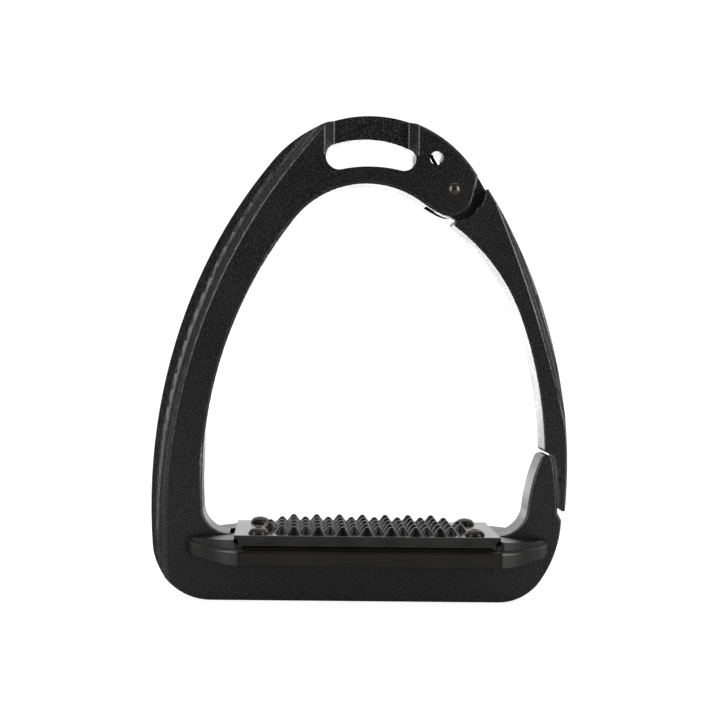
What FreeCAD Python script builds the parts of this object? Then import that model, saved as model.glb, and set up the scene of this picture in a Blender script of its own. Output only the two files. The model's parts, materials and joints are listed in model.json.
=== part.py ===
import FreeCAD, Part
import math
import os

import Sketcher
from FreeCAD import Placement, Rotation, Vector

# Safety stirrup iron, millimetres. X runs across the tread towards the swing arm, Y from front to back, Z up.
# The origin is on the ground at the middle of the overall width, in the mid-plane of the frame.

doc = FreeCAD.newDocument("stirrup_iron")
sheet = doc.addObject("Spreadsheet::Sheet", "Sizes")

SIZES = {
    "frame_depth": 15.4, "edge_round": 1.1, "arm_edge_round": 0.7, "overcut": 1.0, "overreach": 90.0,
    # hinge of the swing arm
    "pivot_x": 33.1, "pivot_z": 148.9, "pin_radius": 2.0, "pin_bore_radius": 2.06,
    "pin_head_radius": 2.45, "pin_head_height": 1.2, "clevis_gap": 9.4, "clevis_radius": 11.6,
    "tongue_front": 4.2, "tongue_thick": 4.4, "washer_thick": 0.48, "washer_radius": 5.0,
    "bush_radius": 3.0, "bush_gap": 0.01,
    # torsion spring round the bush
    "wire_radius": 0.6, "coil_radius": 3.95, "coil_pitch": 1.68, "coil_turns": 1.5, "coil_start": 0.95,
    "leg_swell": 0.02,
    "fixed_leg_angle": 119.8, "fixed_leg_reach": 16.0, "channel_start": 5.0, "channel_reach": 17.5,
    "channel_width": 2.2,
    "arm_leg_angle": 299.8, "arm_leg_reach": 6.9, "arm_leg_depth": 2.5, "leg_hole_gap": 0.1,
    "spring_window_x": 26.6, "spring_window_z": 160.0, "spring_window_radius": 2.45,
    # relief of the bar above the leather slot
    "upper_bar_thick": 6.0, "relief_floor_z": 161.0, "relief_height": 20.0, "relief_left": -14.3,
    "relief_right": 20.7, "relief_wall": 4.4, "relief_ease": 1.35, "relief_sink": 1.1, "relief_bend": 1.7,
    # milled coves on the outer edges
    "cove_x": 139.3, "cove_z": 29.0, "cove_radius": 207.9, "cove_width": 5.4, "cove_depth": 3.0,
    "cove_lead": 0.12, "cove_reach": 18.0,
    "bevel_x": -389.8, "bevel_z": -40.0, "bevel_radius": 473.9, "bevel_width": 5.0, "bevel_depth": 2.6,
    # tread
    "bar_top": 24.1, "saddle_floor": 12.0, "saddle_half": 46.0, "saddle_gap": 0.3,
    "tread_x": 2.2, "plate_half": 46.9, "notch_half_depth": 6.6, "notch_end": 49.8, "notch_drop": 8.0,
    "footbed_x": 2.9, "footbed_half_depth": 23.3, "footbed_front_half": 46.4, "footbed_tip_half": 65.4,
    "footbed_bow": 35.0, "lip_inset": 1.5, "slope_start": 46.9, "slope_ease": 1.4, "slope_step": 0.3,
    "slope_stop": 68.0, "slope_end": 23.0,
    "tier_bottom": 16.5, "lip_round": 1.4, "frame_clearance": 0.05,
    "plate_thick": 1.2, "plate_half_depth": 20.0, "flange_reach": 23.2, "flange_drop": 3.2,
    "mitre": 4.3, "mitre_start": 0.2, "bend_round": 0.8, "flange_relief": 0.25, "flange_relief_reach": 8.0,
    # teeth formed in the plate
    "tooth_pitch_x": 8.6, "tooth_pitch_y": 8.3, "tooth_base": 2.92, "tooth_tip": 0.8, "tooth_flat": 0.2,
    "tall_tooth": 2.95, "tall_slope": 52.5, "low_tooth": 2.6, "low_slope": 47.5,
    # fasteners
    "screw_x": 38.4, "screw_y": 14.2, "screw_radius": 1.95, "screw_hole_radius": 2.15,
    "screw_head_radius": 3.6, "screw_head_height": 2.0, "screw_length": 7.4, "screw_head_rim": 0.35,
    "screw_head_flat": 0.42, "screw_head_bend": 0.4,
    "socket_across": 2.5, "socket_depth": 1.3, "insert_radius": 2.9, "insert_bore": 2.0,
    "insert_height": 6.9, "insert_hole_radius": 2.92,
    "bolt_x": 20.0, "bolt_radius": 2.45, "bolt_hole_radius": 2.65, "bolt_head_radius": 4.25,
    "bolt_head_height": 4.8, "bolt_sink_radius": 4.6, "bolt_sink_depth": 5.2, "bolt_length": 13.2,
    "bolt_socket_across": 4.0, "bolt_socket_depth": 2.4,
    "bolt_insert_radius": 3.4, "bolt_insert_bore": 2.5, "bolt_insert_height": 8.0,
    "bolt_insert_hole_radius": 3.42, "bolt_hole_depth": 8.4,
    "bumper_z": 43.0, "bumper_radius": 2.0, "bumper_base_x": 67.8, "bumper_length": 3.85,
    "bumper_seat_depth": 6.0,
    "ring_outer": 3.4, "ring_inner": 1.6, "ring_thick": 0.6, "ring_slot": 1.7, "pin_tail": 1.5,
}

# Corners of the outlines: x, z and the radius of the run that leaves the corner. Radius 0 is straight,
# above 0 bulges out of the outline, below 0 bulges into it. All run anticlockwise.
FRAME = {
    "ear_tip": (41.52, 153.88, 45.45), "crown_left": (-32.36, 159.09, 182.9),
    "flank_mid": (-63.46, 104.2, 204.8), "flank_left": (-74.72, 19.68, 21.32),
    "foot_left": (-53.46, 0.0, 0), "foot_right": (50.21, 0.0, 18.51),
    "heel_right": (65.35, 7.86, 41.04), "notch_low": (72.79, 29.91, 0),
    "notch_high": (71.36, 32.7, 119.3), "lug_top_out": (69.72, 51.35, 2.45),
    "lug_top_in": (65.04, 51.89, 61.8), "lug_root": (60.47, 33.66, -10.55),
    "bar_right": (49.96, 24.1, 0), "bar_left": (-46.83, 24.1, -9.79),
    "inner_low": (-56.6, 33.26, -154.4), "inner_high": (-24.5, 137.82, -33.17),
    "crown_under": (21.68, 143.97, 37.84), "ear_low": (28.53, 139.86, 8.14),
    "ear_side": (39.81, 145.07, 57.81),
}
SLOT = {
    "slot_low_left": (-8.3, 155.6, -48.5), "slot_low_right": (14.0, 155.4, 4.35),
    "slot_top_right": (16.7, 163.6, 37.2), "slot_top_left": (-10.1, 165.3, 5.0),
}
ARM = {
    "tail_out": (74.05, 33.66, 186.3), "arm_out": (60.93, 119.41, 195.1),
    "shoulder_top": (44.1, 151.0, -11.2), "shoulder_low": (33.2, 137.7, 0),
    "arm_in_top": (33.12, 135.8, -69.9), "arm_in": (57.69, 102.66, -151.3),
    "arm_heel": (66.43, 55.62, 1.6), "arm_step": (67.5, 54.15, 0), "tail_root": (70.4, 53.13, -54.74),
    "tail_in": (72.51, 33.79, 0.8),
}
TONGUE = {
    "tongue_low": (38.0, 137.0, 0), "tongue_high": (45.5, 147.3, 150.0),
    "tongue_corner": (41.8, 153.7, 10.0), "tongue_back": (23.1, 148.9, 10.0),
    "tongue_under": (30.9, 139.15, 0),
}
LIP = {
    "lip_low_left": (-64.0, 18.6, 120.0), "lip_floor_left": (-46.5, 15.2, 0),
    "lip_floor_right": (52.3, 15.2, 120.0), "lip_low_right": (69.8, 18.6, 0),
    "lip_high_right": (69.8, 22.9, -90.0), "lip_top_right": (52.3, 20.9, 0),
    "lip_top_left": (-46.5, 20.9, -90.0), "lip_high_left": (-64.0, 22.9, 0),
}


def store_sizes():
    """Write every driving dimension to the sheet, one per row, with its alias."""
    cells = dict(SIZES)
    for outline in (FRAME, SLOT, ARM, TONGUE, LIP):
        for corner, (x, z, radius) in outline.items():
            cells[corner + "_px"] = x
            cells[corner + "_pz"] = z
            cells[corner + "_bend"] = abs(radius)
    for row, (alias, value) in enumerate(cells.items(), start=1):
        sheet.set("A%d" % row, alias)
        sheet.set("B%d" % row, str(value))
        sheet.setAlias("B%d" % row, alias)
    doc.recompute()


def size(alias):
    return float(sheet.get(alias))


# ---------------------------------------------------------------- drawing helpers
def new_body(label):
    body = doc.addObject("PartDesign::Body", label)
    body.Label = label
    return body


def new_sketch(body, name, plane, offset=(0, 0, 0)):
    sketch = body.newObject("Sketcher::SketchObject", name)
    role = plane + "_Plane"
    origin_plane = next(feature for feature in body.Origin.OriginFeatures if feature.Role == role)
    sketch.AttachmentSupport = [(origin_plane, "")]
    sketch.MapMode = "FlatFace"
    sketch.AttachmentOffset = Placement(Vector(*offset), Rotation())
    return sketch


def bind(sketch, constraint, expression):
    index = sketch.addConstraint(constraint)
    sketch.setExpression("Constraints[%d]" % index, expression)


def run_edge(start, end, radius):
    """A straight or round run of an outline, and whether the arc is stored backwards."""
    a = Vector(start[0], start[1], 0)
    b = Vector(end[0], end[1], 0)
    if radius == 0:
        return Part.LineSegment(a, b), False
    if radius < 0:
        a, b = b, a
    chord = b - a
    left = Vector(-chord.y, chord.x, 0).normalize()
    to_centre = math.sqrt(max(radius * radius - chord.Length ** 2 / 4, 0))
    centre = (a + b) * 0.5 + left * to_centre
    first = math.atan2(a.y - centre.y, a.x - centre.x)
    last = math.atan2(b.y - centre.y, b.x - centre.x)
    circle = Part.Circle(centre, Vector(0, 0, 1), abs(radius))
    return Part.ArcOfCircle(circle, first, last), radius < 0


def draw_outline(sketch, points, expressions=None):
    """Closed outline through points (x, y, radius). expressions gives each point's sheet expressions."""
    ends = []
    for number, point in enumerate(points):
        following = points[(number + 1) % len(points)]
        edge, backwards = run_edge(point, following, point[2])
        index = sketch.addGeometry(edge, False)
        ends.append((index, 2, 1) if backwards else (index, 1, 2))
    for number, (index, _, end) in enumerate(ends):
        following = ends[(number + 1) % len(ends)]
        sketch.addConstraint(Sketcher.Constraint("Coincident", index, end, following[0], following[1]))
    for number, (index, start, _) in enumerate(ends):
        x, y, radius = points[number]
        if expressions:
            across, along, bend = expressions[number]
            bind(sketch, Sketcher.Constraint("DistanceX", -1, 1, index, start, x), across)
            bind(sketch, Sketcher.Constraint("DistanceY", -1, 1, index, start, y), along)
            if radius:
                bind(sketch, Sketcher.Constraint("Radius", index, abs(radius)), bend)


def named_outline(sketch, outline):
    """Draw a named outline with every corner and radius bound to the sheet."""
    expressions = [("Sizes.%s_px" % c, "Sizes.%s_pz" % c, "Sizes.%s_bend" % c) for c in outline]
    draw_outline(sketch, list(outline.values()), expressions)


def draw_circle(sketch, x, y, radius):
    """Circle given by three sheet expressions."""
    values = [evaluate(text) for text in (x, y, radius)]
    circle = Part.Circle(Vector(values[0], values[1], 0), Vector(0, 0, 1), values[2])
    index = sketch.addGeometry(circle, False)
    bind(sketch, Sketcher.Constraint("DistanceX", -1, 1, index, 3, values[0]), x)
    bind(sketch, Sketcher.Constraint("DistanceY", -1, 1, index, 3, values[1]), y)
    bind(sketch, Sketcher.Constraint("Radius", index, values[2]), radius)


def draw_polygon(sketch, corners):
    """Closed outline through corners given as (x, y) or (x, y, radius, bulge) sheet expressions."""
    points = []
    expressions = []
    for corner in corners:
        x, y = corner[:2]
        bend = corner[2] if len(corner) > 2 else "0"
        sign = corner[3] if len(corner) > 2 else 1
        points.append((evaluate(x), evaluate(y), sign * evaluate(bend)))
        expressions.append((x, y, bend))
    draw_outline(sketch, points, expressions)


def evaluate(expression):
    """Value of an expression in the sheet's names."""
    return float(sheet.evalExpression(expression))


def extrude(body, kind, name, sketch, length=None, both=False, reverse=False):
    """Pad or pocket a sketch by a sheet expression; with no length it goes through everything."""
    feature = body.newObject("PartDesign::" + kind, name)
    feature.Profile = sketch
    if length is None:
        feature.Type = "ThroughAll"
    else:
        feature.setExpression("Length", length)
    feature.Midplane = both
    feature.Reversed = reverse
    sketch.Visibility = False
    doc.recompute()
    return feature


def turn(body, kind, name, sketch, axis="V_Axis", angle=360.0, both=False):
    """Revolution or groove of a sketch about one of its own axes."""
    feature = body.newObject("PartDesign::" + kind, name)
    feature.Profile = sketch
    feature.ReferenceAxis = (sketch, [axis])
    feature.Angle = angle
    feature.Midplane = both
    doc.recompute()
    return feature


def mirror_in_depth(body, name, features):
    """Repeat features on the other face of the part."""
    feature = body.newObject("PartDesign::Mirrored", name)
    feature.Originals = features
    plane = next(item for item in body.Origin.OriginFeatures if item.Role == "XZ_Plane")
    feature.MirrorPlane = (plane, [""])
    body.Tip = feature
    doc.recompute()
    return feature


def round_edges(body, name, base, radius, wanted):
    """Fillet the edges of base for which wanted(edge) is true."""
    names = ["Edge%d" % (number + 1) for number, edge in enumerate(base.Shape.Edges) if wanted(edge)]
    feature = body.newObject("PartDesign::Fillet", name)
    feature.Base = (base, names)
    feature.setExpression("Radius", radius)
    doc.recompute()
    return feature


def in_face_plane(edge):
    """True for an edge that lies in the front or back face of the frame."""
    half = size("frame_depth") / 2
    return all(abs(abs(vertex.Y) - half) < 1e-4 for vertex in edge.Vertexes)


def hinge_placement(depth):
    """Local +Z to world +Y on the pivot axis, with the local origin at the given depth."""
    return Placement(Vector(size("pivot_x"), depth, size("pivot_z")), Rotation(Vector(1, 0, 0), -90))


# ---------------------------------------------------------------- frame
def make_frame():
    body = new_body("frame")
    outline = new_sketch(body, "frame_outline", "XZ")
    named_outline(outline, FRAME)
    pad = extrude(body, "Pad", "frame_pad", outline, "Sizes.frame_depth", both=True)
    round_edges(body, "frame_edges", pad, "Sizes.edge_round", in_face_plane)

    slot = new_sketch(body, "leather_slot", "XZ")
    named_outline(slot, SLOT)
    extrude(body, "Pocket", "leather_slot_cut", slot, both=True)
    window = new_sketch(body, "spring_window", "XZ")
    draw_circle(window, "Sizes.spring_window_x", "Sizes.spring_window_z", "Sizes.spring_window_radius")
    extrude(body, "Pocket", "spring_window_cut", window, both=True)

    relief = cut_upper_bar_relief(body)
    cove = cut_cove(body)
    mirror_in_depth(body, "back_face", [relief, cove])
    cut_clevis(body)
    cut_bar(body)
    return body


def cut_upper_bar_relief(body):
    """Thin the bar above the leather slot, with an S-shaped wall at each end of the slot."""
    sketch = new_sketch(body, "relief_plan", "XY", (0, 0, size("relief_floor_z")))
    face, floor = "-Sizes.frame_depth / 2", "-Sizes.upper_bar_thick / 2"
    left, right, wall = "Sizes.relief_left", "Sizes.relief_right", " Sizes.relief_wall"
    ease, sink, bend = " Sizes.relief_ease", " Sizes.relief_sink", "Sizes.relief_bend"
    draw_polygon(sketch, [
        (left, face + " - Sizes.overcut"),
        (right, face + " - Sizes.overcut"),
        (right, face, bend, -1),
        (right + " -" + ease, face + " +" + sink),
        (right + " -" + wall + " +" + ease, floor + " -" + sink, bend, 1),
        (right + " -" + wall, floor),
        (left + " +" + wall, floor, bend, 1),
        (left + " +" + wall + " -" + ease, floor + " -" + sink),
        (left + " +" + ease, face + " +" + sink, bend, -1),
        (left, face),
    ])
    return extrude(body, "Pocket", "relief_cut", sketch, "Sizes.relief_height", reverse=True)


def cut_cove(body):
    """Step the outer edge of the left branch back, along an arc that runs out at both ends."""
    sketch = new_sketch(body, "cove_section", "XY", (size("cove_x"), 0, size("cove_z")))
    draw_step(sketch, "-", "cove")
    return turn(body, "Groove", "cove_cut", sketch, angle=110.0, both=True)


def draw_step(sketch, side, name):
    """Section of a soft step, outward from its radius. It starts above the face, to meet it at an angle."""
    face = "-Sizes.frame_depth / 2"
    edge, width, depth = ["Sizes.%s_%s" % (name, part) for part in ("radius", "width", "depth")]
    fall = "(%s + Sizes.cove_lead)" % depth
    bend = "(%s ^ 2 + %s ^ 2) / (4 * %s)" % (width, fall, fall)
    lead = face + " - Sizes.cove_lead"
    corners = [
        ("%s(%s)" % (side, edge), face + " - Sizes.overcut"),
        ("%s(%s)" % (side, edge), lead, bend, -1),
        ("%s(%s + %s / 2)" % (side, edge, width), "%s + %s / 2" % (lead, fall), bend, 1),
        ("%s(%s + %s)" % (side, edge, width), "%s + %s" % (face, depth)),
        ("%s(%s + Sizes.cove_reach)" % (side, edge), "%s + %s" % (face, depth)),
        ("%s(%s + Sizes.cove_reach)" % (side, edge), face + " - Sizes.overcut"),
    ]
    if side == "+":
        corners = mirrored_run(corners)
    draw_polygon(sketch, corners)


def mirrored_run(corners):
    """The same outline run the other way round, with each bend moved to the corner that it now leaves."""
    places = [corner[:2] for corner in corners]
    bends = [corner[2:] for corner in corners]
    count = len(corners)
    return [places[-index % count] + bends[(-index - 1) % count] for index in range(count)]


def cut_clevis(body):
    """Gap between the ears, pin bore and the channel that holds the fixed leg of the spring."""
    gap = new_sketch(body, "clevis_gap", "XZ")
    draw_circle(gap, "Sizes.pivot_x", "Sizes.pivot_z", "Sizes.clevis_radius")
    extrude(body, "Pocket", "clevis_cut", gap, "Sizes.clevis_gap", both=True)
    bore = new_sketch(body, "pin_bore", "XZ")
    draw_circle(bore, "Sizes.pivot_x", "Sizes.pivot_z", "Sizes.pin_bore_radius")
    extrude(body, "Pocket", "pin_bore_cut", bore, both=True)

    leg_depth = size("coil_start") + size("coil_pitch") * size("coil_turns")
    half = size("channel_width") / 2
    channel = new_sketch(body, "leg_channel", "XZ", (0, 0, -(leg_depth - half)))
    along = Rotation(Vector(0, 0, 1), size("fixed_leg_angle")).multVec(Vector(1, 0, 0))
    across = Vector(-along.y, along.x, 0)
    centre = Vector(size("pivot_x"), size("pivot_z"), 0)
    near, far = centre + along * size("channel_start"), centre + along * size("channel_reach")
    corners = [near - across * half, far - across * half, far + across * half, near + across * half]
    draw_polygon(channel, [(str(corner.x), str(corner.y)) for corner in corners])
    extrude(body, "Pocket", "leg_channel_cut", channel, "Sizes.channel_width")


def cut_bar(body):
    """Saddle for the footbed, notches at its ends, bolt holes and the bumper seat."""
    saddle = new_sketch(body, "saddle", "XZ")
    low, high = "Sizes.saddle_floor", "Sizes.bar_top + Sizes.overcut"
    left, right = "Sizes.tread_x - Sizes.saddle_half", "Sizes.tread_x + Sizes.saddle_half"
    draw_polygon(saddle, [(left, low), (right, low), (right, high), (left, high)])
    extrude(body, "Pocket", "saddle_cut", saddle, both=True)

    notches = new_sketch(body, "end_notches", "XY", (0, 0, size("bar_top")))
    deep = "Sizes.notch_half_depth"
    for side in ("-", "+"):
        near = "Sizes.tread_x %s (Sizes.saddle_half - Sizes.overcut)" % side
        far = "Sizes.tread_x %s Sizes.notch_end" % side
        first, second = (far, near) if side == "-" else (near, far)
        draw_polygon(notches, [(first, "-" + deep), (second, "-" + deep), (second, deep), (first, deep)])
    extrude(body, "Pocket", "notch_cut", notches, "Sizes.notch_drop")

    for name, radius, depth in (("bolt_hole", "Sizes.bolt_hole_radius", "Sizes.saddle_floor"),
                                ("bolt_sink", "Sizes.bolt_sink_radius", "Sizes.bolt_sink_depth")):
        holes = new_sketch(body, name, "XY")
        for side in ("-", "+"):
            draw_circle(holes, "Sizes.tread_x %s Sizes.bolt_x" % side, "0", radius)
        extrude(body, "Pocket", name + "_cut", holes, depth, reverse=True)

    seat = new_sketch(body, "bumper_seat", "YZ", (0, 0, size("bumper_base_x")))
    draw_circle(seat, "0", "Sizes.bumper_z", "Sizes.bumper_radius")
    extrude(body, "Pocket", "bumper_seat_cut", seat, "Sizes.bumper_seat_depth", reverse=True)


# ---------------------------------------------------------------- swing arm and its hinge
def make_swing_arm():
    body = new_body("swing_arm")
    outline = new_sketch(body, "arm_outline", "XZ")
    named_outline(outline, ARM)
    pad = extrude(body, "Pad", "arm_pad", outline, "Sizes.frame_depth", both=True)
    round_edges(body, "arm_edges", pad, "Sizes.arm_edge_round", in_face_plane)
    mirror_in_depth(body, "arm_back_face", [cut_bevel(body)])

    tongue = new_sketch(body, "tongue_outline", "XZ", (0, 0, size("tongue_front") - size("tongue_thick")))
    named_outline(tongue, TONGUE)
    extrude(body, "Pad", "tongue_pad", tongue, "Sizes.tongue_thick")
    bore = new_sketch(body, "bush_bore", "XZ")
    draw_circle(bore, "Sizes.pivot_x", "Sizes.pivot_z", "Sizes.bush_radius")
    x = "Sizes.pivot_x + Sizes.arm_leg_reach * cos(Sizes.arm_leg_angle * 1 deg)"
    z = "Sizes.pivot_z + Sizes.arm_leg_reach * sin(Sizes.arm_leg_angle * 1 deg)"
    draw_circle(bore, x, z, "Sizes.wire_radius + Sizes.leg_hole_gap")
    extrude(body, "Pocket", "bush_bore_cut", bore, both=True)
    return body


def cut_bevel(body):
    """Soft bevel on the outer edge of the arm, running out towards the tail."""
    sketch = new_sketch(body, "bevel_section", "XY", (size("bevel_x"), 0, size("bevel_z")))
    draw_step(sketch, "+", "bevel")
    return turn(body, "Groove", "bevel_cut", sketch, angle=60.0, both=True)


def make_pivot_pin():
    """Domed rivet pin through both ears, with a slot at the back for the retaining ring."""
    body = new_body("pivot_pin")
    sketch = new_sketch(body, "pin_section", "XZ")
    dome = "(Sizes.pin_head_radius ^ 2 + Sizes.pin_head_height ^ 2) / (2 * Sizes.pin_head_height)"
    slot_start = "Sizes.frame_depth"
    slot_end = "Sizes.frame_depth + Sizes.ring_thick"
    draw_polygon(sketch, [
        ("0", "-Sizes.pin_head_height", dome, 1),
        ("Sizes.pin_head_radius", "0"),
        ("Sizes.pin_radius", "0"),
        ("Sizes.pin_radius", slot_start),
        ("Sizes.ring_inner", slot_start),
        ("Sizes.ring_inner", slot_end),
        ("Sizes.pin_radius", slot_end),
        ("Sizes.pin_radius", "Sizes.frame_depth + Sizes.pin_tail"),
        ("0", "Sizes.frame_depth + Sizes.pin_tail"),
    ])
    turn(body, "Revolution", "pin_turned", sketch)
    body.Placement = hinge_placement(-size("frame_depth") / 2)
    return body


def make_ring(label, outer, inner, height, placement, slot=None):
    """Flat ring or sleeve with its base at the local origin; slot opens one side of it."""
    body = new_body(label)
    sketch = new_sketch(body, label + "_plan", "XY")
    draw_circle(sketch, "0", "0", outer)
    draw_circle(sketch, "0", "0", inner)
    extrude(body, "Pad", label + "_pad", sketch, height)
    if slot:
        gap = new_sketch(body, label + "_gap", "XY")
        half = slot + " / 2"
        far = outer + " + Sizes.overcut"
        draw_polygon(gap, [("0", "-" + half), (far, "-" + half), (far, half), ("0", half)])
        extrude(body, "Pocket", label + "_gap_cut", gap, both=True)
    body.Placement = placement
    return body


def make_hinge_parts():
    half_gap = size("clevis_gap") / 2
    half_depth = size("frame_depth") / 2
    bore = "Sizes.pin_bore_radius"
    front = -size("tongue_front")
    return [
        make_pivot_pin(),
        make_ring("pin_retaining_ring", "Sizes.ring_outer", "Sizes.ring_inner", "Sizes.ring_thick",
                  hinge_placement(half_depth), slot="Sizes.ring_slot"),
        make_ring("arm_bushing", "Sizes.bush_radius - Sizes.bush_gap", bore, "Sizes.tongue_front * 2",
                  hinge_placement(front)),
        make_ring("front_thrust_washer", "Sizes.washer_radius", bore, "Sizes.washer_thick",
                  hinge_placement(-half_gap)),
        make_ring("rear_thrust_washer", "Sizes.washer_radius", bore, "Sizes.washer_thick",
                  hinge_placement(half_gap - size("washer_thick"))),
        make_return_spring(),
    ]


def make_return_spring():
    """Torsion spring: a coil, a straight leg into the crown and a hooked leg into the tongue."""
    radius, wire, reach = size("coil_radius"), size("wire_radius"), size("arm_leg_reach")
    rise = Vector(0, 0, size("coil_pitch") * size("coil_turns"))
    helix = Part.makeHelix(size("coil_pitch"), rise.z, radius)
    section = Part.Wire(Part.makeCircle(wire, Vector(radius, 0, 0), Vector(0, 1, 0)))
    coil = Part.Wire(helix.Edges).makePipeShell([section], True, True)
    coil.rotate(Vector(0, 0, 0), Vector(0, 0, 1), -size("arm_leg_angle"))
    to_arm = Rotation(Vector(0, 0, 1), -size("arm_leg_angle")).multVec(Vector(1, 0, 0))
    to_crown = Rotation(Vector(0, 0, 1), -size("fixed_leg_angle")).multVec(Vector(1, 0, 0))
    leg = wire + size("leg_swell")
    hook = leg + size("leg_swell")
    inner = radius - leg
    fixed = Part.makeCylinder(leg, size("fixed_leg_reach") - inner, to_crown * inner + rise, to_crown)
    radial = Part.makeCylinder(leg, reach - inner + leg, to_arm * inner, to_arm)
    down = Vector(0, 0, -1)
    hooked = Part.makeCylinder(hook, size("arm_leg_depth") + hook, to_arm * reach - down * hook, down)
    feature = doc.addObject("Part::Feature", "return_spring")
    feature.Label = "return_spring"
    feature.Shape = coil.fuse([fixed, radial, hooked])
    feature.Placement = hinge_placement(size("coil_start"))
    return feature


def make_closing_bumper():
    """Round buffer in the lug that the tail of the arm closes against."""
    bumper = doc.addObject("Part::Cylinder", "closing_bumper")
    bumper.Label = "closing_bumper"
    bumper.setExpression("Radius", "Sizes.bumper_radius")
    bumper.setExpression("Height", "Sizes.bumper_length")
    place = Vector(size("bumper_base_x"), 0, size("bumper_z"))
    bumper.Placement = Placement(place, Rotation(Vector(0, 1, 0), 90))
    return bumper


# ---------------------------------------------------------------- tread
def footbed_plan(sketch, front_half, tip_half, half_depth):
    """Straight front and back with bowed sides that run to blunt tips in line with the faces of the frame."""
    face = "Sizes.frame_depth / 2"
    front_left, front_right = ["Sizes.footbed_x %s (%s)" % (side, front_half) for side in ("-", "+")]
    tip_left, tip_right = ["Sizes.footbed_x %s (%s)" % (side, tip_half) for side in ("-", "+")]
    bow = "Sizes.footbed_bow"
    draw_polygon(sketch, [
        (front_left, "-(%s)" % half_depth), (front_right, "-(%s)" % half_depth, bow, 1),
        (tip_right, "-" + face), (tip_right, face, bow, 1),
        (front_right, half_depth), (front_left, half_depth, bow, 1),
        (tip_left, face), (tip_left, "-" + face, bow, 1),
    ])


def make_footbed():
    """Platform across the bar: a rim whose tips sweep up, and a flat top flush with the bar."""
    body = new_body("footbed")
    rim = new_sketch(body, "rim_section", "XZ")
    named_outline(rim, LIP)
    extrude(body, "Pad", "rim_pad", rim, "Sizes.footbed_half_depth * 2", both=True)
    plan = new_sketch(body, "rim_plan", "XY")
    far = "Sizes.overreach"
    draw_polygon(plan, [("-" + far, "-" + far), (far, "-" + far), (far, far), ("-" + far, far)])
    footbed_plan(plan, "Sizes.footbed_front_half", "Sizes.footbed_tip_half", "Sizes.footbed_half_depth")
    trimmed = extrude(body, "Pocket", "rim_trim", plan, both=True)
    round_edges(body, "lip_edges", trimmed, "Sizes.lip_round", is_lip_edge)

    tier = new_sketch(body, "tier_plan", "XY", (0, 0, size("tier_bottom")))
    footbed_plan(tier, "Sizes.footbed_front_half + Sizes.lip_inset / 2",
                 "Sizes.footbed_tip_half - Sizes.lip_inset / 2", "Sizes.footbed_half_depth - Sizes.lip_inset")
    extrude(body, "Pad", "tier_pad", tier, "Sizes.bar_top - Sizes.tier_bottom")
    slopes = new_sketch(body, "end_slopes", "XZ")
    for side in ("-", "+"):
        start = "Sizes.tread_x %s Sizes.slope_start" % side
        eased = "Sizes.tread_x %s (Sizes.slope_start + Sizes.slope_ease)" % side
        stop = "Sizes.tread_x %s Sizes.slope_stop" % side
        over = "Sizes.bar_top + Sizes.overcut"
        step = (eased, "Sizes.bar_top - Sizes.slope_step")
        corners = [(start, "Sizes.bar_top"), step, (stop, "Sizes.slope_end"), (stop, over), (start, over)]
        if side == "-":
            corners.reverse()
        draw_polygon(slopes, corners)
    extrude(body, "Pocket", "end_slopes_cut", slopes, both=True)
    key = new_sketch(body, "key_plan", "XY", (0, 0, size("saddle_floor")))
    face = "Sizes.frame_depth / 2"
    near_end = "(Sizes.saddle_half - Sizes.saddle_gap)"
    left, right = "Sizes.tread_x - " + near_end, "Sizes.tread_x + " + near_end
    draw_polygon(key, [(left, "-" + face), (right, "-" + face), (right, face), (left, face)])
    extrude(body, "Pad", "key_pad", key, "Sizes.tier_bottom - Sizes.saddle_floor")

    clear = new_sketch(body, "branch_clearance", "XY")
    wide = "(%s + Sizes.frame_clearance)" % face
    for side in ("-", "+"):
        near = "Sizes.tread_x %s %s" % (side, near_end)
        end = "Sizes.tread_x %s Sizes.overreach" % side
        first, second = (end, near) if side == "-" else (near, end)
        draw_polygon(clear, [(first, "-" + wide), (second, "-" + wide), (second, wide), (first, wide)])
    extrude(body, "Pocket", "branch_clearance_cut", clear, both=True)
    cut_flange_relief(body)

    holes = new_sketch(body, "tread_insert_holes", "XY", (0, 0, size("bar_top")))
    for x, y in screw_places():
        draw_circle(holes, x, y, "Sizes.insert_hole_radius")
    extrude(body, "Pocket", "tread_insert_hole_cut", holes, "Sizes.insert_height")
    under = new_sketch(body, "bolt_insert_holes", "XY", (0, 0, size("saddle_floor")))
    for side in ("-", "+"):
        draw_circle(under, "Sizes.tread_x %s Sizes.bolt_x" % side, "0", "Sizes.bolt_insert_hole_radius")
    extrude(body, "Pocket", "bolt_insert_hole_cut", under, "Sizes.bolt_hole_depth", reverse=True)
    return body


def is_lip_edge(edge):
    """True for the edges that run round the top of the rim, not across it."""
    low = size("lip_top_left_pz") - 0.1
    depths = [vertex.Y for vertex in edge.Vertexes]
    return all(vertex.Z > low for vertex in edge.Vertexes) and min(depths) * max(depths) > 0


def cut_flange_relief(body):
    """Chamfer along the front and back edges of the top that clears the turned-down flanges."""
    sketch = new_sketch(body, "flange_relief", "YZ", (0, 0, size("tread_x")))
    start = "(Sizes.plate_half_depth - Sizes.plate_thick / 2 - Sizes.flange_relief)"
    end = "(%s + Sizes.flange_relief_reach)" % start
    top, over = "Sizes.bar_top", "Sizes.bar_top + Sizes.overcut"
    low = "Sizes.bar_top - Sizes.flange_relief_reach"
    draw_polygon(sketch, [("-" + start, top), ("-" + start, over), ("-" + end, over), ("-" + end, low)])
    draw_polygon(sketch, [(end, low), (end, over), (start, over), (start, top)])
    return extrude(body, "Pocket", "flange_relief_cut", sketch, "Sizes.plate_half * 2", both=True)


def screw_places():
    """Sheet expressions of the four tread screws, front pair first."""
    left, right = ["Sizes.tread_x %s Sizes.screw_x" % side for side in ("-", "+")]
    return [(across, along) for along in ("-Sizes.screw_y", "Sizes.screw_y") for across in (left, right)]


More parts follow.
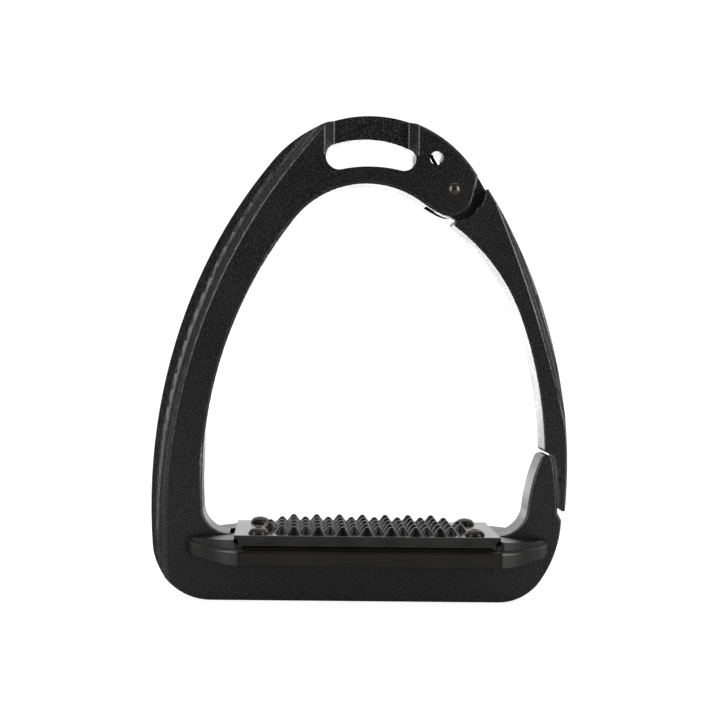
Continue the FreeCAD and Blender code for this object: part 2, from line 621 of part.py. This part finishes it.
def make_grip_plate():
    """Sheet plate with turned-down front and back flanges and rows of raised teeth."""
    body = new_body("grip_plate")
    section = new_sketch(body, "plate_section", "YZ", (0, 0, size("tread_x")))
    top = "(Sizes.bar_top + Sizes.plate_thick)"
    half = "Sizes.plate_half_depth"
    slant = "(Sizes.plate_thick * cos(45 deg))"
    outer_y, outer_z = "Sizes.flange_reach", "(%s - Sizes.flange_drop)" % top
    under_y = "(%s - Sizes.plate_thick * tan(22.5 deg))" % half
    draw_polygon(section, [
        ("-" + outer_y + " + " + slant, outer_z + " - " + slant),
        ("-" + under_y, "Sizes.bar_top"),
        (under_y, "Sizes.bar_top"),
        (outer_y + " - " + slant, outer_z + " - " + slant),
        (outer_y, outer_z),
        (half, top),
        ("-" + half, top),
        ("-" + outer_y, outer_z),
    ])
    pad = extrude(body, "Pad", "plate_pad", section, "Sizes.plate_half * 2", both=True)
    round_edges(body, "plate_bend", pad, "Sizes.bend_round", is_top_bend)

    trim = new_sketch(body, "flange_mitres", "XY")
    for across in ("-", "+"):
        for along in ("-", "+"):
            end = "Sizes.tread_x %s Sizes.plate_half" % across
            beyond = "Sizes.tread_x %s (Sizes.plate_half + Sizes.overcut)" % across
            inner = "Sizes.tread_x %s (Sizes.plate_half - Sizes.mitre)" % across
            near = along + "(Sizes.plate_half_depth + Sizes.mitre_start)"
            far = along + "(Sizes.flange_reach + Sizes.overcut)"
            corners = [(end, near), (beyond, near), (beyond, far), (inner, far)]
            if across != along:
                corners.reverse()
            draw_polygon(trim, corners)
    extrude(body, "Pocket", "mitre_cut", trim, both=True)

    holes = new_sketch(body, "tread_screw_holes", "XY")
    for x, y in screw_places():
        draw_circle(holes, x, y, "Sizes.screw_hole_radius")
    extrude(body, "Pocket", "tread_screw_hole_cut", holes, both=True)
    raise_teeth(body, "main", "tall", 7, 5, 6, 4)
    raise_teeth(body, "between", "low", 8, 4, 7, 3)
    raise_teeth(body, "end", "low", 2, 2, 8, 1)
    return body


def is_top_bend(edge):
    """True for the two long edges where the plate turns down."""
    top = size("bar_top") + size("plate_thick")
    half = size("plate_half_depth")
    ends = [(vertex.Z - top, abs(vertex.Y) - half) for vertex in edge.Vertexes]
    return all(max(abs(rise), abs(reach)) < 1e-4 for rise, reach in ends) and edge.Length > half * 3


def raise_teeth(body, name, kind, columns, rows, span_x, span_y):
    """Round-topped cones of one kind in a grid that spans the given numbers of pitches."""
    x = size("tread_x") - span_x * size("tooth_pitch_x") / 2
    y = -span_y * size("tooth_pitch_y") / 2
    sketch = new_sketch(body, name + "_tooth", "XZ", (x, size("bar_top") + size("plate_thick"), -y))
    tip, slope, height = "Sizes.tooth_tip", "Sizes.%s_slope * 1 deg" % kind, "Sizes.%s_tooth" % kind
    shoulder_x = "Sizes.tooth_flat + %s * sin(%s)" % (tip, slope)
    shoulder_z = "%s - %s + %s * cos(%s)" % (height, tip, tip, slope)
    draw_polygon(sketch, [
        ("0", "-Sizes.plate_thick / 2"),
        ("Sizes.tooth_base", "-Sizes.plate_thick / 2"),
        ("Sizes.tooth_base", "0"),
        (shoulder_x, shoulder_z, tip, 1),
        ("Sizes.tooth_flat", height),
        ("0", height),
    ])
    tooth = turn(body, "Revolution", name + "_tooth_turned", sketch)
    patterns = []
    for axis, count, span in (("x", columns, span_x), ("y", rows, span_y)):
        pattern = body.newObject("PartDesign::LinearPattern", "%s_teeth_%s" % (name, axis))
        line = next(item for item in body.Origin.OriginFeatures if item.Role == axis.upper() + "_Axis")
        pattern.Direction = (line, [""])
        pattern.Length = span * size("tooth_pitch_" + axis)
        pattern.Occurrences = count
        patterns.append(pattern)
    grid = body.newObject("PartDesign::MultiTransform", name + "_teeth")
    grid.Originals = [tooth]
    grid.Transformations = patterns
    body.Tip = grid
    doc.recompute()


def make_screw(label, head_radius, head_height, shank_radius, length, across, depth, dome, placement):
    """Socket screw with its seat at the local origin and its head along local +Z."""
    body = new_body(label)
    sketch = new_sketch(body, label + "_section", "XZ")
    top = [("0", head_height)]
    if dome:
        flat = "(%s * Sizes.screw_head_flat)" % head_radius
        fall = "(%s - %s)" % (head_radius, flat)
        bend = "(%s ^ 2 + %s ^ 2) / (2 * %s) + Sizes.screw_head_bend" % (fall, head_height, head_height)
        side = [(head_radius, "0"), (head_radius, "Sizes.screw_head_rim", bend, 1), (flat, head_height)]
    else:
        side = [(head_radius, "0"), (head_radius, head_height)]
    end = "-(%s)" % length
    draw_polygon(sketch, [("0", end), (shank_radius, end), (shank_radius, "0")] + side + top)
    turn(body, "Revolution", label + "_turned", sketch)
    socket = new_sketch(body, label + "_socket", "XY", (0, 0, evaluate(head_height)))
    corner = "%s / sqrt(3) * " % across
    turns = range(0, 360, 60)
    draw_polygon(socket, [(corner + "cos(%d deg)" % at, corner + "sin(%d deg)" % at) for at in turns])
    extrude(body, "Pocket", label + "_socket_cut", socket, depth)
    body.Placement = placement
    return body


def make_fasteners():
    """Tread screws, footbed screws and the threaded inserts that each of them goes into."""
    parts = []
    plate_top = size("bar_top") + size("plate_thick")
    tread_head = ("Sizes.screw_head_radius", "Sizes.screw_head_height")
    tread_shank = ("Sizes.screw_radius", "Sizes.screw_length")
    tread_socket = ("Sizes.socket_across", "Sizes.socket_depth")
    for number, (x, y) in enumerate(screw_places(), start=1):
        across, along = evaluate(x), evaluate(y)
        seat = Placement(Vector(across, along, plate_top), Rotation(Vector(0, 0, 1), 20 * number))
        base = Placement(Vector(across, along, size("bar_top") - size("insert_height")), Rotation())
        label = "tread_screw_%d" % number
        parts.append(make_screw(label, *tread_head, *tread_shank, *tread_socket, True, seat))
        label = "tread_insert_%d" % number
        sleeve = ("Sizes.insert_radius", "Sizes.insert_bore", "Sizes.insert_height")
        parts.append(make_ring(label, *sleeve, base))
    bolt_head = ("Sizes.bolt_head_radius", "Sizes.bolt_head_height")
    bolt_shank = ("Sizes.bolt_radius", "Sizes.bolt_length")
    bolt_socket = ("Sizes.bolt_socket_across", "Sizes.bolt_socket_depth")
    for number, side in enumerate(("-", "+"), start=1):
        across = evaluate("Sizes.tread_x %s Sizes.bolt_x" % side)
        seat = Placement(Vector(across, 0, size("bolt_sink_depth")), Rotation(Vector(1, 0, 0), 180))
        base = Placement(Vector(across, 0, size("saddle_floor")), Rotation())
        label = "footbed_screw_%d" % number
        parts.append(make_screw(label, *bolt_head, *bolt_shank, *bolt_socket, False, seat))
        label = "footbed_insert_%d" % number
        sleeve = ("Sizes.bolt_insert_radius", "Sizes.bolt_insert_bore", "Sizes.bolt_insert_height")
        parts.append(make_ring(label, *sleeve, base))
    return parts


# ---------------------------------------------------------------- build, check and write
def check_document(parts):
    for item in doc.Objects:
        if "Invalid" in item.State or "Error" in item.State:
            raise RuntimeError("%s did not compute: %s" % (item.Name, item.State))
    for part in parts:
        if part.Shape.isNull() or not part.Shape.isValid():
            raise RuntimeError("%s has no valid shape" % part.Label)
        if not part.Shape.Solids:
            raise RuntimeError("%s has no solid" % part.Label)


def write_steps(parts):
    os.makedirs("parts", exist_ok=True)
    for part in parts:
        part.Shape.exportStep("parts/%s.step" % part.Label)
        box = part.Shape.BoundBox
        print("%-22s %8.1f mm3  x %.1f %.1f  y %.1f %.1f  z %.1f %.1f" % (
            part.Label, part.Shape.Volume, box.XMin, box.XMax, box.YMin, box.YMax, box.ZMin, box.ZMax))


store_sizes()
all_parts = [make_frame(), make_swing_arm()] + make_hinge_parts()
all_parts += [make_closing_bumper(), make_footbed(), make_grip_plate()] + make_fasteners()
doc.recompute()
check_document(all_parts)
write_steps(all_parts)
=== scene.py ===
import json
import math

import bpy
from mathutils import Euler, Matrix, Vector


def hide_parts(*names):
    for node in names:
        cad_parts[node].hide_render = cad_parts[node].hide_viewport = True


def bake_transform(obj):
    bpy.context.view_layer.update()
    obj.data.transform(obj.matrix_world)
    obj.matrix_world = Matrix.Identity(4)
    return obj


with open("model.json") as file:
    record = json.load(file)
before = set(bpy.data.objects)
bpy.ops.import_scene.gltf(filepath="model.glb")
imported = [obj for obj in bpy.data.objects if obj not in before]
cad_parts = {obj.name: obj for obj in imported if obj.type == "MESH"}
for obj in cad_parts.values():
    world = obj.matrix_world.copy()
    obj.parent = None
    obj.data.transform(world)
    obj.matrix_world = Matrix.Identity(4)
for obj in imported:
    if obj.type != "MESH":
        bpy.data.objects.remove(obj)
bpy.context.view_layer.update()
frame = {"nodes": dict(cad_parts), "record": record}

MM = 0.001
WHITE = (1, 1, 1, 1)

# ---------------------------------------------------------------- camera
LENS = 70.14
SENSOR_WIDTH = 36.0
FAR_CLIP = 20.0
CAMERA_PLACE = Vector((-25.0, -512.75, 97.6)) * MM
CAMERA_TILT = 90.0
CAMERA_ROLL = 0.55
# The lens axis is square to the frame but left of and above its middle, so the framing needs this much shift.
SHIFT_ACROSS = 0.0945
SHIFT_UP = -0.0416

# ---------------------------------------------------------------- studio, in metres and watts
FLOOR_HALF = 0.6
FLOOR_GREY = (0.4, 0.4, 0.4, 1)
FLOOR_GLOW_FOR_LIGHT = 0.05
FLOOR_GLOW_FOR_CAMERA = 0.85
SWEEP_FOR_CAMERA = 1.1
# How bright the sweep is to the front and at the back, and the directions between which it changes.
SWEEP_FRONT, SWEEP_BACK = 0.02, 1.0
SWEEP_FRONT_END, SWEEP_BACK_START = -0.12, 0.4
# How much brighter it is below the horizon and above it.
SWEEP_LOW, SWEEP_HIGH = 5.0, 1.15
SWEEP_LOW_END, SWEEP_HIGH_START = -0.06, 0.0
# name: place, the point it is aimed at, width, height, power
PANELS = {
    "soft_right": ((0.9, -0.7, 0.25), (0, 0, 0.09), 0.2, 1.2, 11.0),
    "soft_left": ((-0.9, -0.7, 0.25), (0, 0, 0.09), 0.2, 1.2, 9.0),
    "soft_top": ((0.0, 0.04, 1.0), (0, 0, 0.05), 1.2, 0.35, 2.2),
    "key_left": ((-0.35, -0.8, 0.75), (0, 0, 0.1), 0.12, 0.12, 0.35),
    "key_right": ((0.4, -0.8, 0.75), (0, 0, 0.1), 0.12, 0.12, 0.3),
}

# ---------------------------------------------------------------- powder coat, noise in waves per metre
GRAIN_WAVES, GRAIN_DETAIL = 2600.0, 1.0
MOTTLE_WAVES, MOTTLE_DETAIL, MOTTLE_ROUGHNESS = 700.0, 3.0, 0.55
DRIFT_WAVES, DRIFT_DETAIL = 45.0, 3.0
# Colour of the grain: painted shade in the hollows and painted glints on the crests of the same noise that
# bumps the coat.
GRAIN_SHADE_AND_GLINT_COLOURS = [
    (0.42, (0.0005, 0.0005, 0.0005)),
    (0.53, (0.0052, 0.0048, 0.0049)),
    (0.68, (0.07, 0.066, 0.066)),
]
COAT_ROUGHNESS = (0.28, 0.36)
GRAIN_BUMP = (0.45, 0.12 * MM)
MOTTLE_BUMP = (0.15, 0.2 * MM)

# A noise value seldom leaves this span, so colour and roughness are spread over it.
NOISE_LOW, NOISE_HIGH = 0.3, 0.7


# ---------------------------------------------------------------- node helpers
def object_coordinates(nodes):
    return nodes.new("ShaderNodeTexCoord").outputs["Object"]


def camera_ray(nodes):
    return nodes.new("ShaderNodeLightPath").outputs["Is Camera Ray"]


def add_noise(nodes, links, coordinates, waves, detail, roughness=0.5):
    noise = nodes.new("ShaderNodeTexNoise")
    noise.inputs["Scale"].default_value = waves
    noise.inputs["Detail"].default_value = detail
    noise.inputs["Roughness"].default_value = roughness
    links.new(coordinates, noise.inputs["Vector"])
    return noise.outputs["Fac"]


def add_range(nodes, links, value, low, high, start=0.0, end=1.0):
    spread = nodes.new("ShaderNodeMapRange")
    spread.inputs["From Min"].default_value = start
    spread.inputs["From Max"].default_value = end
    spread.inputs["To Min"].default_value = low
    spread.inputs["To Max"].default_value = high
    links.new(value, spread.inputs["Value"])
    return spread.outputs["Result"]


def add_ramp(nodes, links, value, stops):
    ramp = nodes.new("ShaderNodeValToRGB")
    elements = ramp.color_ramp.elements
    elements[0].position, elements[0].color = stops[0][0], (*stops[0][1], 1)
    elements[1].position, elements[1].color = stops[-1][0], (*stops[-1][1], 1)
    for position, colour in stops[1:-1]:
        elements.new(position).color = (*colour, 1)
    links.new(value, ramp.inputs["Fac"])
    return ramp.outputs["Color"]


def add_bump(nodes, links, height, strength, distance, before=None):
    bump = nodes.new("ShaderNodeBump")
    bump.inputs["Strength"].default_value = strength
    bump.inputs["Distance"].default_value = distance
    links.new(height, bump.inputs["Height"])
    if before is not None:
        links.new(before, bump.inputs["Normal"])
    return bump.outputs["Normal"]


def new_material(name):
    material = bpy.data.materials.new(name)
    material.use_nodes = True
    tree = material.node_tree
    return material, tree.nodes, tree.links, tree.nodes["Principled BSDF"]


# ---------------------------------------------------------------- camera and studio
def make_camera():
    """A long lens square to the face of the frame, a little to the left of and above the middle."""
    data = bpy.data.cameras.new("photo_camera")
    data.lens = LENS
    data.sensor_width = SENSOR_WIDTH
    data.clip_end = FAR_CLIP
    data.shift_x = SHIFT_ACROSS
    data.shift_y = SHIFT_UP
    camera = bpy.data.objects.new("photo_camera", data)
    camera.location = CAMERA_PLACE
    level = Euler((math.radians(CAMERA_TILT), 0, 0)).to_matrix()
    roll = Euler((0, 0, math.radians(CAMERA_ROLL))).to_matrix()
    camera.rotation_euler = (level @ roll).to_euler()
    bpy.context.collection.objects.link(camera)
    bpy.context.scene.camera = camera


def make_floor():
    """Plain white floor that the stirrup stands on."""
    mesh = bpy.data.meshes.new("floor")
    signs = [(-1, -1), (1, -1), (1, 1), (-1, 1)]
    corners = [(x * FLOOR_HALF, y * FLOOR_HALF, 0) for x, y in signs]
    mesh.from_pydata(corners, [], [(0, 1, 2, 3)])
    floor = bpy.data.objects.new("floor", mesh)
    bpy.context.collection.objects.link(floor)
    material, nodes, links, shader = new_material("floor_white")
    shader.inputs["Base Color"].default_value = FLOOR_GREY
    shader.inputs["Roughness"].default_value = 1.0
    shader.inputs["Specular IOR Level"].default_value = 0.0
    shader.inputs["Emission Color"].default_value = WHITE
    glow = add_range(nodes, links, camera_ray(nodes), FLOOR_GLOW_FOR_LIGHT, FLOOR_GLOW_FOR_CAMERA)
    links.new(glow, shader.inputs["Emission Strength"])
    mesh.materials.append(material)


def make_panel(name, place, target, width, height, power):
    light = bpy.data.lights.new(name, "AREA")
    light.shape = "RECTANGLE"
    light.size = width
    light.size_y = height
    light.energy = power
    panel = bpy.data.objects.new(name, light)
    panel.location = place
    aim = Vector(target) - Vector(place)
    panel.rotation_euler = aim.to_track_quat("-Z", "Y").to_euler()
    panel.visible_camera = False
    bpy.context.collection.objects.link(panel)


def make_world():
    """White sweep all round to look at; its light comes from behind and the sides, brightest low down."""
    world = bpy.data.worlds.new("studio")
    world.use_nodes = True
    nodes, links = world.node_tree.nodes, world.node_tree.links
    split = nodes.new("ShaderNodeSeparateXYZ")
    links.new(nodes.new("ShaderNodeTexCoord").outputs["Generated"], split.inputs["Vector"])
    depth = add_range(
        nodes, links, split.outputs["Y"], SWEEP_FRONT, SWEEP_BACK, SWEEP_FRONT_END, SWEEP_BACK_START
    )
    height = add_range(
        nodes, links, split.outputs["Z"], SWEEP_LOW, SWEEP_HIGH, SWEEP_LOW_END, SWEEP_HIGH_START
    )
    light = nodes.new("ShaderNodeMath")
    light.operation = "MULTIPLY"
    links.new(depth, light.inputs[0])
    links.new(height, light.inputs[1])
    seen = nodes.new("ShaderNodeMix")
    links.new(camera_ray(nodes), seen.inputs["Factor"])
    links.new(light.outputs["Value"], seen.inputs["A"])
    seen.inputs["B"].default_value = SWEEP_FOR_CAMERA
    links.new(seen.outputs["Result"], nodes["Background"].inputs["Strength"])
    nodes["Background"].inputs["Color"].default_value = WHITE
    bpy.context.scene.world = world
    bpy.context.scene.view_settings.view_transform = "Standard"


# ---------------------------------------------------------------- materials
def make_powder_coat():
    """Matt black powder coat: an orange-peel grain of about 0.4 mm, painted darker in its hollows and paler
    on its crests as painted shade and painted glints.
    """
    material, nodes, links, shader = new_material("powder_coat_black")
    place = object_coordinates(nodes)
    grain = add_noise(nodes, links, place, GRAIN_WAVES, GRAIN_DETAIL)
    mottle = add_noise(nodes, links, place, MOTTLE_WAVES, MOTTLE_DETAIL, MOTTLE_ROUGHNESS)
    drift = add_noise(nodes, links, place, DRIFT_WAVES, DRIFT_DETAIL)
    # The grain ramp paints shade into the hollows and glints onto the crests.
    links.new(add_ramp(nodes, links, grain, GRAIN_SHADE_AND_GLINT_COLOURS), shader.inputs["Base Color"])
    gloss = add_range(nodes, links, drift, *COAT_ROUGHNESS, NOISE_LOW, NOISE_HIGH)
    links.new(gloss, shader.inputs["Roughness"])
    fine = add_bump(nodes, links, grain, *GRAIN_BUMP)
    links.new(add_bump(nodes, links, mottle, *MOTTLE_BUMP, fine), shader.inputs["Normal"])
    return material


def make_finish(name, dark, pale, roughness, clouds, bump, grain=None, metallic=0.0, pale_from=NOISE_HIGH):
    """Clouds of two shades and two glosses. clouds and grain are noises as (waves per metre, detail).
    The bump, as (strength, distance), follows the grain, or the clouds where there is no grain."""
    material, nodes, links, shader = new_material(name)
    place = object_coordinates(nodes)
    cloud = add_noise(nodes, links, place, *clouds)
    relief = add_noise(nodes, links, place, *grain) if grain else cloud
    colour = add_ramp(nodes, links, cloud, [(NOISE_LOW, dark), (pale_from, pale)])
    links.new(colour, shader.inputs["Base Color"])
    shader.inputs["Metallic"].default_value = metallic
    gloss = add_range(nodes, links, cloud, *roughness, NOISE_LOW, NOISE_HIGH)
    links.new(gloss, shader.inputs["Roughness"])
    links.new(add_bump(nodes, links, relief, *bump), shader.inputs["Normal"])
    return material


def make_metal(name, colour, roughness):
    """Bare metal with fine tool marks."""
    dark = [0.7 * value for value in colour]
    spread = (roughness, roughness + 0.15)
    return make_finish(name, dark, colour, spread, clouds=(300.0, 5.0), bump=(0.1, 0.05 * MM), metallic=1.0)


def make_soft(name, colour, roughness):
    """Moulded rubber or nylon with a fine skin texture."""
    dark = [0.75 * value for value in colour]
    spread = (roughness, roughness + 0.1)
    return make_finish(name, dark, colour, spread, clouds=(900.0, 3.0), bump=(0.15, 0.1 * MM))


def make_satin_black():
    """Smooth satin coat on the footbed, with faint handling marks."""
    return make_finish(
        "satin_black", dark=(0.003, 0.0025, 0.002), pale=(0.0065, 0.0053, 0.0043), roughness=(0.3, 0.4),
        clouds=(60.0, 4.0), grain=(1900.0, 2.0), bump=(0.12, 0.06 * MM),
    )


def make_gloss_plate():
    """Semi-gloss coat on the formed plate and its teeth."""
    return make_finish(
        "gloss_plate", dark=(0.0025, 0.0022, 0.0019), pale=(0.0045, 0.0039, 0.0033), roughness=(0.15, 0.21),
        clouds=(120.0, 4.0), grain=(2600.0, 2.0), bump=(0.05, 0.03 * MM),
    )


def make_black_screw():
    """Blackened steel of the screws, slightly uneven."""
    return make_finish(
        "black_screw", dark=(0.012, 0.0105, 0.009), pale=(0.05, 0.043, 0.036), roughness=(0.18, 0.34),
        clouds=(400.0, 4.0), bump=(0.1, 0.08 * MM), metallic=0.5, pale_from=0.75,
    )


def dress_nodes():
    """Give every CAD node the material of its slot."""
    finishes = {
        "powder_coat": make_powder_coat(),
        "satin_black": make_satin_black(),
        "gloss_plate": make_gloss_plate(),
        "black_screw": make_black_screw(),
        "dark_pin": make_metal("dark_pin", (0.11, 0.1, 0.088), 0.24),
        "steel": make_metal("spring_steel", (0.5, 0.5, 0.51), 0.25),
        "spring_wire": make_metal("spring_wire", (0.06, 0.06, 0.065), 0.25),
        "bronze": make_metal("bronze", (0.42, 0.27, 0.13), 0.35),
        "brass": make_metal("brass", (0.62, 0.46, 0.2), 0.28),
        "nylon": make_soft("nylon", (0.66, 0.64, 0.58), 0.5),
        "rubber": make_soft("rubber", (0.02, 0.02, 0.02), 0.7),
    }
    slots = {part["node"]: part["material_slot"] for part in frame["record"]["subparts"]}
    for name, node in frame["nodes"].items():
        node.data.materials.clear()
        node.data.materials.append(finishes[slots[name]])


# ---------------------------------------------------------------- spring
def wind_spring():
    """A copy of the spring's mesh stands in for the spring node, which is hidden; the copy's place is baked
    into its mesh.
    """
    node = frame["nodes"]["return_spring"]
    spring = bpy.data.objects.new("winding_spring", node.data.copy())
    spring.matrix_world = node.matrix_world.copy()
    bpy.context.collection.objects.link(spring)
    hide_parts("return_spring")
    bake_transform(spring)


make_camera()
make_floor()
make_world()
for panel_name, settings in PANELS.items():
    make_panel(panel_name, *settings)
dress_nodes()
wind_spring()
